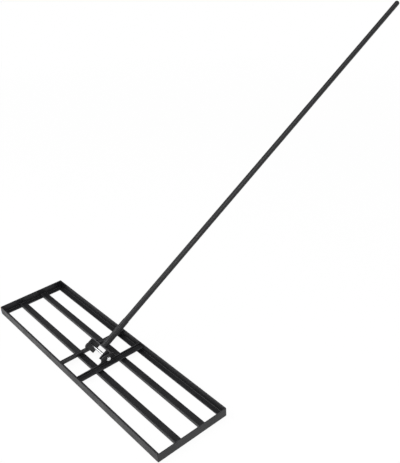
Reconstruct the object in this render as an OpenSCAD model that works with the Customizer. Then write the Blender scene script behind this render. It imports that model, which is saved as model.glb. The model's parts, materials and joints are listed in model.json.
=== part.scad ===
// Lawn leveling rake: a welded angle-steel grid with a long round handle on a pivoting yoke.
// Frame: X along the head, Y from the near long rail to the far one, Z up, origin on the ground
// under the head's centre. The handle leans to +Y. Lengths in mm, angles in degrees.

/* [Head frame] */
// Length of the head along X
head_l = 914; // [600:1:1200]
// Width of the head along Y
head_w = 246; // [220:1:320]
// Height of the outer rails
rail_h = 28; // [25:0.5:32]
// Width of the outer rails' bottom flange
rail_flange = 19; // [14:0.5:24]
// Thickness of the angle steel
steel_t = 3; // [2.5:0.1:3.5]

/* [Inner bars] */
// Distance from each inner bar's middle to the line midway between them
inner_bar_y = 43; // [42:0.5:54]
// Place of the line midway between the inner bars along Y
inner_bar_shift = 1.5; // [0:0.5:2]
// Width of the inner bars' flat flange
inner_bar_w = 25.5; // [18:0.5:26]
// Height of the inner bars' scraping leg
inner_bar_h = 10; // [8:0.5:12]

/* [Pivot bridge] */
// Width of the cross bars' outward flange
crossbar_w = 20; // [14:0.5:24]
// Height of the cross bars' leg
crossbar_h = 11; // [8:0.5:12]
// Height of the pivot axis above the cross bars' top edge
pivot_rise = 6.5; // [6.5:0.5:14]
// Place of the pivot axis along Y
pivot_y = -2; // [-6:0.5:6]
// Thickness of the ear plates
ear_t = 3; // [2.5:0.1:4]
// Half width of an ear above its base fillets
ear_half = 24; // [20:0.5:30]
// Height of an ear above the pivot axis
ear_rise = 15; // [15:0.5:24]
// Radius of the concave fillets at an ear's base
ear_fillet = 8; // [6:0.5:8]
// Diameter of the pivot bolt's shank
bolt_d = 8; // [7:0.1:8]

/* [Yoke] */
// Clear distance between the yoke's arms
yoke_gap = 79; // [60:1:110]
// Width of the yoke's flat bar
yoke_w = 48; // [40:1:48]
// Thickness of the yoke's flat bar
yoke_t = 3; // [2.5:0.1:4]
// Distance from the pivot axis to the web's outer face
yoke_reach = 18.6; // [17:0.1:24]
// Distance from the pivot axis to the arms' free ends
yoke_tail = 17.5; // [10:0.5:18]
// Radial play of the arms' pivot holes on the bolt
pivot_hole_play = 0.05; // [0.02:0.01:0.09]

/* [Handle] */
// Elevation of the handle above the ground in the rest pose
handle_angle = 30.2; // [15:0.1:75]
// Length from the pivot axis to the top of the end cap
handle_l = 1707; // [1200:1:1900]
// Outer diameter of the pole sections
pole_d = 19; // [14:0.5:20]
// Wall of the pole sections
pole_wall = 0.8; // [0.7:0.1:1.5]
// Length of the socket tube above the web
socket_l = 110; // [70:1:160]
// Wall of the socket tube
socket_wall = 0.95; // [0.8:0.05:1.5]

/* [Hidden] */
$fn = 64;

coat = [0.10, 0.10, 0.11];
zinc = [0.78, 0.79, 0.80];
plastic = [0.06, 0.06, 0.06];

// Head sizes that follow from the ones above
half_l = head_l / 2;
half_w = head_w / 2;
inner_bar_z = steel_t;
crossbar_z = inner_bar_z + inner_bar_h;
crossbar_top = crossbar_z + crossbar_h;
inner_bar_l = head_l - 2 * steel_t;
crossbar_l = head_w - 2 * steel_t;

// Pivot stack along X, from the yoke outwards
washer_t = 1.6;
washer_d = bolt_d + 7;
washer_bore_play = 0.2;
side_play = 0.4;
pivot_z = crossbar_top + pivot_rise;
arm_out = yoke_gap / 2 + yoke_t;
ear_in = arm_out + side_play + washer_t;
ear_out = ear_in + ear_t;
ear_corner = 12;
ear_lip = 1.5;
bolt_head_af = 1.625 * bolt_d;
bolt_head_h = 0.66 * bolt_d;
nut_h = 0.81 * bolt_d;
bolt_end_chamfer = 1;
bolt_tail = 3;
thread_play = 0.05;
hex_flats = 6;
nut_face = ear_out + washer_t;
nut_end = nut_face + nut_h;
bolt_end = nut_end + bolt_tail;

// Yoke bends and corners
bend_in = 3;
bend_out = bend_in + yoke_t;
arm_corner = 1.5;

// Handle sections, measured from the pivot axis along the handle
cap_dome = 6;
cap_plug = 22;
cap_rim = 1.5;
cap_sink = 0.1;
joint_rim = 1.5;
rim_sink = 0.3;
joint_wall = 1.6;
joint_plug = 30;
plug_play = 0.05;
socket_play = 0.05;
socket_weld = 1.3;
socket_weld_l = 4;
pole_r = pole_d / 2;
bore_r = pole_r - pole_wall;
cap_r = pole_r - cap_sink;
socket_in = pole_r + socket_play;
socket_out = socket_in + socket_wall;
pole_start = yoke_reach;
pole_end = handle_l - cap_dome - cap_rim;
section_l = (pole_end - pole_start - 2 * joint_rim) / 3;
lower_end = pole_start + section_l;
middle_start = lower_end + joint_rim;
middle_end = middle_start + section_l;
upper_start = middle_end + joint_rim;
far = 10;

// Angle profile: upright leg against the line u = 0, bottom flange towards +u
module angle_profile(flange, leg) {
    square([flange, steel_t]);
    square([steel_t, leg]);
}

// Rail of one length along X, its upright leg facing -Y at y = 0, ends mitred inwards
module mitred_rail(length) {
    difference() {
        rotate([90, 0, 90])
            translate([0, 0, -length / 2])
                linear_extrude(height = length)
                    angle_profile(rail_flange, rail_h);
        for (side = [0, 1])
            mirror([side, 0, 0])
                translate([length / 2, 0, -far])
                    rotate([0, 0, 45])
                        cube([2 * rail_flange, 3 * rail_flange, rail_h + 2 * far]);
    }
}

// Bar along X with its leg on the -Y side, middle of its flange at y = 0
module inner_bar() {
    rotate([90, 0, 90])
        translate([-inner_bar_w / 2, inner_bar_z, -inner_bar_l / 2])
            linear_extrude(height = inner_bar_l)
                angle_profile(inner_bar_w, inner_bar_h);
}

// Cross bar on the +X side: leg under the ear, flange pointing away from the yoke
module crossbar() {
    rotate([90, 0, 0])
        translate([ear_in, crossbar_z, -crossbar_l / 2])
            linear_extrude(height = crossbar_l)
                angle_profile(crossbar_w, crossbar_h);
}

// Side view of an ear around the pivot axis, u along Y and v up
module ear_profile() {
    base_v = -pivot_rise;
    foot_v = base_v + ear_lip;
    foot_half = ear_half + ear_fillet;
    difference() {
        intersection() {
            union() {
                translate([-ear_half, base_v])
                    square([2 * ear_half, ear_rise - ear_corner - base_v]);
                translate([-ear_half + ear_corner, ear_rise - ear_corner])
                    square([2 * (ear_half - ear_corner), ear_corner]);
                for (side = [-1, 1])
                    translate([side * (ear_half - ear_corner), ear_rise - ear_corner])
                        circle(ear_corner);
                translate([-foot_half, base_v])
                    square([2 * foot_half, foot_v - base_v + ear_fillet]);
            }
            translate([-foot_half, base_v])
                square([2 * foot_half, ear_rise - base_v]);
        }
        for (side = [-1, 1])
            translate([side * foot_half, foot_v + ear_fillet])
                circle(ear_fillet);
        circle(bolt_d / 2 + washer_bore_play);
    }
}

// Ear plate on the +X side, standing on the top edge of its cross bar's leg
module ear() {
    translate([ear_in, pivot_y, pivot_z])
        rotate([90, 0, 90])
            linear_extrude(height = ear_t)
                ear_profile();
}

// Solid of revolution along the pivot axis from one x to another
module pivot_disc(from_x, to_x, radius) {
    translate([from_x, pivot_y, pivot_z])
        rotate([0, 90, 0])
            cylinder(h = to_x - from_x, r = radius);
}

// Hexagonal prism on the pivot axis with flats up and down
module pivot_hex(from_x, to_x) {
    translate([from_x, pivot_y, pivot_z])
        rotate([0, 90, 0])
            rotate([0, 0, 30])
                cylinder(h = to_x - from_x, d = bolt_head_af / cos(30), $fn = hex_flats);
}

// Plain washer on the pivot axis
module washer(from_x) {
    difference() {
        pivot_disc(from_x, from_x + washer_t, washer_d / 2);
        pivot_disc(from_x - far, from_x + far, bolt_d / 2 + washer_bore_play);
    }
}

// Puts a part drawn along +Y from the pivot at the handle's rest angle
module on_handle() {
    translate([0, pivot_y, pivot_z])
        rotate([handle_angle, 0, 0])
            children();
}

// Round part along the handle from one distance to another
module handle_round(from_y, to_y, radius) {
    translate([0, from_y, 0])
        rotate([-90, 0, 0])
            cylinder(h = to_y - from_y, r = radius);
}

// Outline of the bent yoke seen along its width
module yoke_outline(half, reach, radius) {
    translate([-half, -yoke_tail])
        square([2 * half, yoke_tail + reach - radius]);
    translate([-half + radius, reach - radius])
        square([2 * (half - radius), radius]);
    for (side = [-1, 1])
        translate([side * (half - radius), reach - radius])
            circle(radius);
}

// Side view of the yoke's arms with eased free corners
module arm_side() {
    translate([-yoke_tail + arm_corner, -yoke_w / 2])
        square([yoke_tail - arm_corner + yoke_reach, yoke_w]);
    translate([-yoke_tail, -yoke_w / 2 + arm_corner])
        square([arm_corner, yoke_w - 2 * arm_corner]);
    for (side = [-1, 1])
        translate([-yoke_tail + arm_corner, side * (yoke_w / 2 - arm_corner)])
            circle(arm_corner);
}

// Socket's outside with the weld at its foot
module socket_outside() {
    handle_round(yoke_reach, yoke_reach + socket_l, socket_out);
    translate([0, yoke_reach, 0])
        rotate([-90, 0, 0])
            cylinder(h = socket_weld_l, r1 = socket_out + socket_weld, r2 = socket_out);
}

// Pole section as a plain tube
module pole(from_y, to_y) {
    difference() {
        handle_round(from_y, to_y, pole_r);
        handle_round(from_y - far, to_y + far, bore_r);
    }
}

// Bush that reaches into both pole sections, with a thin sunk rim between them
module pole_joint(rim_y) {
    plug_r = bore_r - plug_play;
    plug_start = rim_y - joint_plug;
    plug_end = rim_y + joint_rim + joint_plug;
    difference() {
        union() {
            handle_round(rim_y, rim_y + joint_rim, pole_r - rim_sink);
            handle_round(plug_start, plug_end, plug_r);
        }
        handle_round(plug_start - far, plug_end + far, plug_r - joint_wall);
    }
}

module front_rail() {
    color(coat)
        translate([0, -half_w, 0])
            mitred_rail(head_l);
}

module rear_rail() {
    color(coat)
        rotate([0, 0, 180])
            translate([0, -half_w, 0])
                mitred_rail(head_l);
}

module left_end_rail() {
    color(coat)
        rotate([0, 0, -90])
            translate([0, -half_l, 0])
                mitred_rail(head_w);
}

module right_end_rail() {
    color(coat)
        rotate([0, 0, 90])
            translate([0, -half_l, 0])
                mitred_rail(head_w);
}

module front_inner_bar() {
    color(coat)
        translate([0, inner_bar_shift - inner_bar_y, 0])
            inner_bar();
}

module rear_inner_bar() {
    color(coat)
        translate([0, inner_bar_shift + inner_bar_y, 0])
            inner_bar();
}

module left_crossbar() {
    color(coat)
        mirror([1, 0, 0])
            crossbar();
}

module right_crossbar() {
    color(coat)
        crossbar();
}

module left_ear() {
    color(coat)
        mirror([1, 0, 0])
            ear();
}

module right_ear() {
    color(coat)
        ear();
}

module pivot_bolt() {
    color(zinc) {
        pivot_disc(-bolt_end + bolt_end_chamfer, ear_out, bolt_d / 2);
        translate([-bolt_end, pivot_y, pivot_z])
            rotate([0, 90, 0])
                cylinder(h = bolt_end_chamfer, r1 = bolt_d / 2 - bolt_end_chamfer, r2 = bolt_d / 2);
        pivot_hex(ear_out, ear_out + bolt_head_h);
    }
}

module nut_washer() {
    color(zinc)
        washer(-nut_face);
}

module pivot_nut() {
    color(zinc)
        difference() {
            pivot_hex(-nut_end, -nut_face);
            pivot_disc(-nut_end - far, -nut_face + far, bolt_d / 2 + thread_play);
        }
}

module left_spacer() {
    color(zinc)
        washer(-ear_in);
}

module right_spacer() {
    color(zinc)
        washer(ear_in - washer_t);
}

module yoke() {
    color(coat)
        on_handle()
            difference() {
                intersection() {
                    translate([0, 0, -yoke_w / 2])
                        linear_extrude(height = yoke_w)
                            difference() {
                                yoke_outline(arm_out, yoke_reach, bend_out);
                                translate([0, -far])
                                    yoke_outline(yoke_gap / 2, yoke_reach - yoke_t + far, bend_in);
                            }
                    translate([-arm_out - far, 0, 0])
                        rotate([90, 0, 90])
                            linear_extrude(height = 2 * (arm_out + far))
                                arm_side();
                }
                translate([-arm_out - far, 0, 0])
                    rotate([0, 90, 0])
                        cylinder(h = 2 * (arm_out + far), r = bolt_d / 2 + pivot_hole_play);
            }
}

module socket_tube() {
    color(coat)
        on_handle()
            difference() {
                socket_outside();
                handle_round(yoke_reach - far, yoke_reach + socket_l + far, socket_in);
            }
}

module lower_pole() {
    color(coat)
        on_handle()
            pole(pole_start, lower_end);
}

module lower_joint() {
    color(coat)
        on_handle()
            pole_joint(lower_end);
}

module middle_pole() {
    color(coat)
        on_handle()
            pole(middle_start, middle_end);
}

module upper_joint() {
    color(coat)
        on_handle()
            pole_joint(middle_end);
}

module upper_pole() {
    color(coat)
        on_handle()
            pole(upper_start, pole_end);
}

module end_cap() {
    color(plastic)
        on_handle() {
            handle_round(pole_end - cap_plug, pole_end, bore_r - plug_play);
            handle_round(pole_end, pole_end + cap_rim, cap_r);
            translate([0, pole_end + cap_rim, 0])
                rotate([-90, 0, 0])
                    rotate_extrude()
                        intersection() {
                            square([cap_r, cap_dome]);
                            union() {
                                square([cap_r - cap_dome, cap_dome]);
                                translate([cap_r - cap_dome, 0])
                                    circle(cap_dome);
                            }
                        }
        }
}

front_rail();
rear_rail();
left_end_rail();
right_end_rail();
front_inner_bar();
rear_inner_bar();
left_crossbar();
right_crossbar();
left_ear();
right_ear();
pivot_bolt();
nut_washer();
pivot_nut();
left_spacer();
right_spacer();
yoke();
socket_tube();
lower_pole();
lower_joint();
middle_pole();
upper_joint();
upper_pole();
end_cap();
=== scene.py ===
"""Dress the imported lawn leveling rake: coated angle steel, welds, bright pivot hardware and the handle."""
import json
import logging
from dataclasses import dataclass, field
from enum import Enum
from itertools import product

import bmesh
import bpy
import numpy as np
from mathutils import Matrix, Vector
from mathutils.geometry import tessellate_polygon


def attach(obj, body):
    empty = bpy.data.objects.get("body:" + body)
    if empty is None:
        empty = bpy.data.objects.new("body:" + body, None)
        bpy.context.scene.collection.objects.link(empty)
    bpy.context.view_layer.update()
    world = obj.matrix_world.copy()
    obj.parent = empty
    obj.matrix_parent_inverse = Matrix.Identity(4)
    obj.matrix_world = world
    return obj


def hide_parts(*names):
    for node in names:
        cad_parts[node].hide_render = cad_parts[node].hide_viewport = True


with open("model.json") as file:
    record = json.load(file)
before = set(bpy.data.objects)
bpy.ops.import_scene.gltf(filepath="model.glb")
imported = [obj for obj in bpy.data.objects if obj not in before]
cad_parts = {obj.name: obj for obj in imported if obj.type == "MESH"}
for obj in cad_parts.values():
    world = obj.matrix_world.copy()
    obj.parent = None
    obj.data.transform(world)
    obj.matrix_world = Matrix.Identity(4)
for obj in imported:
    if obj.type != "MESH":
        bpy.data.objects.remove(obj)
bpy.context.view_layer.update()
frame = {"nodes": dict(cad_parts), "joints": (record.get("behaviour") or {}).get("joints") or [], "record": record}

LOG = logging.getLogger("rake")
MM = 0.001
MERGE = 2e-6
SHARP = np.radians(38.0)
FULL_TURN = 2 * np.pi
QUARTER_TURN = np.pi / 2
BOTH = (-1, 1)
WHITE = "#ffffff"

# Attribute that says how much a point lies on a rubbed edge, and its value on weld beads
EDGE_LAYER = "edge"
WELD_EDGE = 0.35

# Points on each quarter round of a plate's rim
RIM_STEPS = 5

# Range that holds most values of a noise texture
NOISE_SPREAD = (0.3, 0.7)

# Sockets of the Mix node when it mixes colours
MIX_A, MIX_B, MIX_OUT = 6, 7, 2

# Order that turns a four-sided face over and keeps its first point
FLIP = [0, 3, 2, 1]

Array = np.ndarray
Points = np.ndarray | list

X, Y, Z = np.eye(3)
PIVOT = np.array(frame["joints"][0]["pos_m"]) / MM
SLEEVE = next(m for m in frame["record"]["mounts"] if m["name"] == "handle_sleeve")
ALONG = np.array(SLEEVE["axis"]) / np.linalg.norm(SLEEVE["axis"])


class Body(Enum):
    """The two moving bodies of the rake."""

    HEAD = "head"
    HANDLE = "handle"


class Slot(Enum):
    """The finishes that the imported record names."""

    STEEL = "coated_steel"
    ZINC = "zinc_hardware"
    PLASTIC = "black_plastic"


@dataclass
class Shell:
    """A surface while it is worked out.

    Attributes:
        points: Vertices in millimetres, one row each.
        faces: Index arrays, each with one face per row.
        edge: How much each vertex lies on a rounded outer edge, 0 to 1.
    """

    points: Array
    faces: list[Array]
    edge: Array


def linear(code: str) -> tuple[float, float, float, float]:
    """Turn an sRGB hex colour to linear RGBA.

    Args:
        code: Colour such as "#202122".

    Returns:
        Linear red, green, blue and an alpha of 1.
    """
    s = np.array([int(code[i:i + 2], 16) for i in (1, 3, 5)]) / 255.0
    rgb = np.where(s <= 0.04045, s / 12.92, ((s + 0.055) / 1.055) ** 2.4)
    return (*rgb.tolist(), 1.0)


def span(node: str, axis: Array, origin: Array | float = 0.0) -> tuple[float, float]:
    """Measure a CAD node along an axis.

    Args:
        node: Name of the node.
        axis: Direction of length 1.
        origin: Point that places are counted from, in millimetres.

    Returns:
        The lowest and the highest place along the axis in millimetres, to a micrometre.
    """
    mesh = frame["nodes"][node].data
    flat = np.empty(3 * len(mesh.vertices), np.float32)
    mesh.vertices.foreach_get("co", flat)
    places = (flat.reshape(-1, 3) / MM - origin) @ axis
    return round(float(places.min()), 3), round(float(places.max()), 3)


def unit(v: Array) -> Array:
    """Scale vectors along the last axis to length 1."""
    return v / np.linalg.norm(v, axis=-1, keepdims=True)


def around(count: int) -> Array:
    """Spread angles evenly over a full turn, from 0."""
    return np.linspace(0.0, FULL_TURN, count, endpoint=False)


def rounded(corners: list[tuple[float, float]], radii: list[float], steps: int = 4,
            fade: float = 0.6) -> tuple[Array, Array]:
    """Round the corners of a counter-clockwise polygon.

    Each corner becomes an arc whose normal turns from one side's outward normal to the next side's,
    about a centre that lies one radius off both sides. A point on each side just off the arc ends
    the band where the coat is rubbed.

    Args:
        corners: Corner points in order.
        radii: Radius at each corner.
        steps: Segments per arc.
        fade: Distance from an arc to the point that ends its rubbed band, or 0 for no such points.

    Returns:
        The outline's points and their edge values, 1 on outer arcs and 0 elsewhere.
    """
    p = np.asarray(corners, float)
    r = np.asarray(radii, float)
    ahead = unit(np.roll(p, -1, 0) - p)
    behind = np.roll(ahead, 1, 0)
    n1 = np.stack([behind[:, 1], -behind[:, 0]], 1)
    n2 = np.stack([ahead[:, 1], -ahead[:, 0]], 1)
    cross = behind[:, 0] * ahead[:, 1] - behind[:, 1] * ahead[:, 0]
    turn = np.arctan2(cross, np.sum(behind * ahead, 1))
    side = np.sign(turn)
    centre = p - (side * r)[:, None] * (n1 + n2) / (1.0 + np.sum(n1 * n2, 1))[:, None]
    start = np.arctan2(n1[:, 1], n1[:, 0])
    a = start[:, None] + turn[:, None] * np.linspace(0.0, 1.0, steps + 1)[None]
    arc = centre[:, None] + (side * r)[:, None, None] * np.stack([np.cos(a), np.sin(a)], 2)
    on_arc = np.repeat((side > 0).astype(float)[:, None], steps + 1, 1)
    if fade > 0:
        before = arc[:, :1] - fade * behind[:, None]
        after = arc[:, -1:] + fade * ahead[:, None]
        arc = np.concatenate([before, arc, after], 1)
        on_arc = np.pad(on_arc, ((0, 0), (1, 1)))
    return arc.reshape(-1, 2), on_arc.ravel()


def between(rows: int, n: int, wrap: bool = True, ring: bool = False) -> Array:
    """Lay four-sided faces between rows of points.

    Args:
        rows: Number of rows.
        n: Points per row.
        wrap: True where a row's last point joins its first one.
        ring: True where the last row joins the first one.

    Returns:
        Faces as rows of indices, each going along its row first and then to the next row.
    """
    i = np.arange(rows if ring else rows - 1)[:, None]
    j = np.arange(n if wrap else n - 1)[None]
    k = (i + 1) % rows
    q = (j + 1) % n
    return np.stack([i * n + j, i * n + q, k * n + q, k * n + j], 2).reshape(-1, 4)


def loft(loops: Array, edge: Array, ring: bool = False) -> Shell:
    """Skin a row of closed loops with four-sided faces.

    Args:
        loops: Points of shape (stations, points per loop, 3).
        edge: Edge values that broadcast to (stations, points per loop).
        ring: True where the last loop joins the first one; otherwise both ends are capped.

    Returns:
        The skinned shell.
    """
    m, n = loops.shape[:2]
    faces = [between(m, n, ring=ring)]
    if not ring:
        faces += [np.arange(n)[None, ::-1], (m - 1) * n + np.arange(n)[None]]
    mask = np.broadcast_to(edge, (m, n)).ravel()
    return Shell(loops.reshape(-1, 3), faces, mask.astype(float))


def plate(flat: Array, faces: Array, thick: float, rim: float, fade: float) -> Shell:
    """Give a flat sheet of faces its thickness, with rounded rims on its outline and its holes.

    A side that only one face uses is a rim. There the wall runs from the upper face to the lower one
    over two quarter rounds of the rim's radius, set inside the sheet's outline.

    Args:
        flat: Sheet points (u, v) in millimetres.
        faces: Faces as rows of indices, all counter-clockwise.
        thick: Thickness in millimetres.
        rim: Radius of the rounded rims.
        fade: Width of the rubbed band on the faces beside a rim.

    Returns:
        A shell in (u, v, height) with height 0 in mid thickness.
    """
    a = faces.ravel()
    b = np.roll(faces, -1, 1).ravel()
    count = len(flat)
    lone = ~np.isin(a * count + b, b * count + a)
    a, b = a[lone], b[lone]
    along = unit(flat[b] - flat[a])
    out = np.stack([along[:, 1], -along[:, 0]], 1)
    normal = np.zeros_like(flat)
    np.add.at(normal, a, out)
    np.add.at(normal, b, out)
    ids = np.unique(a)
    normal[ids] = unit(normal[ids])
    turn = np.linspace(QUARTER_TURN, 0.0, RIM_STEPS)
    inset = np.concatenate([[-rim - fade], rim * (np.cos(turn) - 1.0)])
    height = np.concatenate([[thick / 2], thick / 2 - rim + rim * np.sin(turn)])
    inset = np.concatenate([inset, inset[::-1]])
    height = np.concatenate([height, -height[::-1]])
    mask = np.pad(np.ones(2 * RIM_STEPS), 1)
    wall = np.concatenate([flat[ids][None] + inset[:, None, None] * normal[ids][None],
                           np.broadcast_to(height[:, None, None], (len(mask), len(ids), 1))], 2)
    face_points = flat.copy()
    face_points[ids] += inset[0] * normal[ids]
    top = np.column_stack([face_points, np.full(count, thick / 2)])
    low = np.column_stack([face_points, np.full(count, -thick / 2)])
    points = np.concatenate([top, low, wall.reshape(-1, 3)])
    place = np.zeros(count, int)
    place[ids] = np.arange(len(ids))
    line = 2 * count + np.arange(len(mask) - 1)[:, None] * len(ids)
    pa, pb = line + place[a], line + place[b]
    quads = np.stack([pa, pa + len(ids), pb + len(ids), pb], 2).reshape(-1, 4)
    edge = np.concatenate([np.zeros(2 * count), np.repeat(mask, len(ids))])
    return Shell(points, [faces, faces[:, ::-1] + count, quads], edge)


def joined(shells: list[Shell]) -> Shell:
    """Put several shells into one.

    Args:
        shells: Shells in one frame.

    Returns:
        One shell with all their points and faces.
    """
    starts = np.cumsum([0] + [len(s.points) for s in shells[:-1]])
    faces = [f + start for s, start in zip(shells, starts) for f in s.faces]
    points = np.concatenate([s.points for s in shells])
    return Shell(points, faces, np.concatenate([s.edge for s in shells]))


def moved(shell: Shell, axes: Points, origin: Points) -> Shell:
    """Carry a shell's own coordinates to the rake's frame.

    Args:
        shell: Shell in its own coordinates.
        axes: Rows that say where its own axes point.
        origin: Where its own zero lies.

    Returns:
        The same shell at its place.
    """
    points = shell.points @ np.asarray(axes, float) + np.asarray(origin, float)
    return Shell(points, shell.faces, shell.edge)


def volume(shell: Shell) -> float:
    """Add up the signed volume under every face.

    Args:
        shell: A closed shell.

    Returns:
        Its volume, which is negative where the shell is inside out.
    """
    total = 0.0
    for rows in shell.faces:
        p = shell.points[rows]
        for k in range(1, rows.shape[1] - 1):
            total += float(np.einsum("ij,ij->", p[:, 0], np.cross(p[:, k], p[:, k + 1]))) / 6.0
    return total


def turned(profile: Array, edge: Array, ring: bool, sides: int = 48) -> Shell:
    """Turn a profile about its first axis.

    Args:
        profile: Points (place along the axis, radius).
        edge: Edge value of each point.
        ring: True where the profile is a closed outline, as for a tube.
        sides: Points around.

    Returns:
        A shell with the axis along its first coordinate.
    """
    th = around(sides)[None]
    along = np.broadcast_to(profile[:, :1], (len(profile), sides))
    loops = np.stack([along, profile[:, 1:] * np.cos(th), profile[:, 1:] * np.sin(th)], 2)
    return loft(loops, edge[:, None], ring)


def tube(start: float, end: float, inner: float, outer: float, ease: float = 0.3,
         band: float = 0.4) -> Shell:
    """Turn a tube or a washer: a rectangle with eased corners about the first axis.

    Args:
        start: Lower place along the axis.
        end: Upper place.
        inner: Radius of the bore.
        outer: Radius of the outside.
        ease: Radius of the corners.
        band: Width of the rubbed band beside a corner, where the wall has room for it.

    Returns:
        A shell with the axis along its first coordinate.
    """
    corners = [(start, inner), (end, inner), (end, outer), (start, outer)]
    gap = min(band, (outer - inner - 2 * ease) / 3)
    profile, edge = rounded(corners, [ease] * 4, steps=3, fade=gap)
    return turned(profile, edge, True)


def add_node(tree: bpy.types.NodeTree, kind: str, inputs: dict | None = None,
             **settings: object) -> bpy.types.Node:
    """Add one shader node.

    Args:
        tree: Node tree that gets it.
        kind: Blender's type name.
        inputs: Values for its sockets by name or number; a socket as the value is linked.
        **settings: The node's own properties.

    Returns:
        The new node.
    """
    made = tree.nodes.new(kind)
    for key, value in settings.items():
        setattr(made, key, value)
    for key, value in (inputs or {}).items():
        if isinstance(value, bpy.types.NodeSocket):
            tree.links.new(value, made.inputs[key])
        else:
            made.inputs[key].default_value = value
    return made


def new_tree(name: str) -> tuple[bpy.types.Material, bpy.types.NodeTree]:
    """Make an empty node material.

    Args:
        name: Name of the material.

    Returns:
        The material and its node tree.
    """
    made = bpy.data.materials.new(name)
    made.use_nodes = True
    made.node_tree.nodes.clear()
    return made, made.node_tree


@dataclass(frozen=True)
class PowderCoat:
    """Polyester powder coat on steel, sprayed and baked: satin black with a fine orange peel.

    It gives the eye a dark body with a soft sheen that lights up towards grazing angles, a slightly
    cloudy and mottled gloss, and edges where the thinner film is rubbed a little paler. The peel is
    drawn at its longer wave, because the shorter one is too fine to show.
    """

    name: str = "satin_black_powder_coat"
    body: str = "#151517"
    cloud: str = "#1d1d1f"
    rubbed: str = "#47474a"
    roughness: tuple[float, float] = (0.32, 0.54)
    specular: float = 0.33
    ior: float = 1.5
    peel_mm: float = 4.0
    peel_depth_mm: float = 0.12
    cloud_mm: float = 45.0
    scuff_mm: float = 6.0
    wear: tuple[float, float] = (0.32, 0.7)
    mottle: tuple[float, float] = (0.7, 1.3)

    def material(self) -> bpy.types.Material:
        """Build the node material.

        Returns:
            The finish, whose rubbed edges follow each piece's edge layer.
        """
        made, tree = new_tree(self.name)
        place = add_node(tree, "ShaderNodeTexCoord").outputs["Object"]
        edge = add_node(tree, "ShaderNodeAttribute", attribute_name=EDGE_LAYER).outputs["Fac"]
        cloud = add_node(tree, "ShaderNodeTexNoise", {
            "Vector": place, "Scale": 1.0 / (self.cloud_mm * MM), "Detail": 3.0}).outputs["Fac"]
        scuff = add_node(tree, "ShaderNodeTexNoise", {
            "Vector": place, "Scale": 1.0 / (self.scuff_mm * MM), "Detail": 5.0,
            "Roughness": 0.7}).outputs["Fac"]
        worn = add_node(tree, "ShaderNodeMath", {0: edge, 1: scuff}, operation="MULTIPLY").outputs[0]
        worn = add_node(tree, "ShaderNodeMapRange", {
            "Value": worn, "From Min": self.wear[0], "From Max": self.wear[1]}).outputs["Result"]
        tint = add_node(tree, "ShaderNodeMix", {
            "Factor": cloud, MIX_A: linear(self.body), MIX_B: linear(self.cloud)},
            data_type="RGBA").outputs[MIX_OUT]
        tint = add_node(tree, "ShaderNodeMix", {
            "Factor": worn, MIX_A: tint, MIX_B: linear(self.rubbed)},
            data_type="RGBA").outputs[MIX_OUT]
        mottle = add_node(tree, "ShaderNodeMath", {0: cloud, 1: scuff}, operation="ADD").outputs[0]
        gloss = add_node(tree, "ShaderNodeMapRange", {
            "Value": mottle, "From Min": self.mottle[0], "From Max": self.mottle[1],
            "To Min": self.roughness[0], "To Max": self.roughness[1]}).outputs["Result"]
        peel = add_node(tree, "ShaderNodeTexNoise", {
            "Vector": place, "Scale": 1.0 / (self.peel_mm * MM), "Detail": 3.0}).outputs["Fac"]
        bump = add_node(tree, "ShaderNodeBump", {
            "Height": peel, "Distance": self.peel_depth_mm * MM, "Strength": 1.0}).outputs["Normal"]
        shader = add_node(tree, "ShaderNodeBsdfPrincipled", {
            "Base Color": tint, "Roughness": gloss, "Normal": bump, "IOR": self.ior,
            "Specular IOR Level": self.specular})
        add_node(tree, "ShaderNodeOutputMaterial", {"Surface": shader.outputs[0]})
        return made


@dataclass(frozen=True)
class ZincPlate:
    """Bright zinc plate on turned steel.

    It gives the eye a pale, faintly blue shine with turning lines and a cloudy gloss. The lines are
    wider than a lathe leaves them, because those are too fine to show.
    """

    name: str = "bright_zinc_plate"
    bright: str = "#f8f8f8"
    dull: str = "#e6e8ea"
    roughness: tuple[float, float] = (0.22, 0.36)
    cloud_mm: float = 5.0
    line_mm: float = 0.5
    line_depth_mm: float = 0.01

    def material(self) -> bpy.types.Material:
        """Build the node material.

        Returns:
            The finish, with its lines across X, the axis that the hardware is turned about.
        """
        made, tree = new_tree(self.name)
        place = add_node(tree, "ShaderNodeTexCoord").outputs["Object"]
        cloud = add_node(tree, "ShaderNodeTexNoise", {
            "Vector": place, "Scale": 1.0 / (self.cloud_mm * MM), "Detail": 4.0}).outputs["Fac"]
        tint = add_node(tree, "ShaderNodeMix", {
            "Factor": cloud, MIX_A: linear(self.bright), MIX_B: linear(self.dull)},
            data_type="RGBA").outputs[MIX_OUT]
        gloss = add_node(tree, "ShaderNodeMapRange", {
            "Value": cloud, "From Min": NOISE_SPREAD[0], "From Max": NOISE_SPREAD[1],
            "To Min": self.roughness[0], "To Max": self.roughness[1]}).outputs["Result"]
        lines = add_node(tree, "ShaderNodeTexWave", {
            "Vector": place, "Scale": 1.0 / (self.line_mm * MM) / FULL_TURN,
            "Distortion": 1.5, "Detail": 2.0}, bands_direction="X").outputs["Fac"]
        bump = add_node(tree, "ShaderNodeBump", {
            "Height": lines, "Distance": self.line_depth_mm * MM, "Strength": 0.6}).outputs["Normal"]
        shader = add_node(tree, "ShaderNodeBsdfPrincipled", {
            "Base Color": tint, "Roughness": gloss, "Normal": bump, "Metallic": 1.0})
        add_node(tree, "ShaderNodeOutputMaterial", {"Surface": shader.outputs[0]})
        return made


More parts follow.
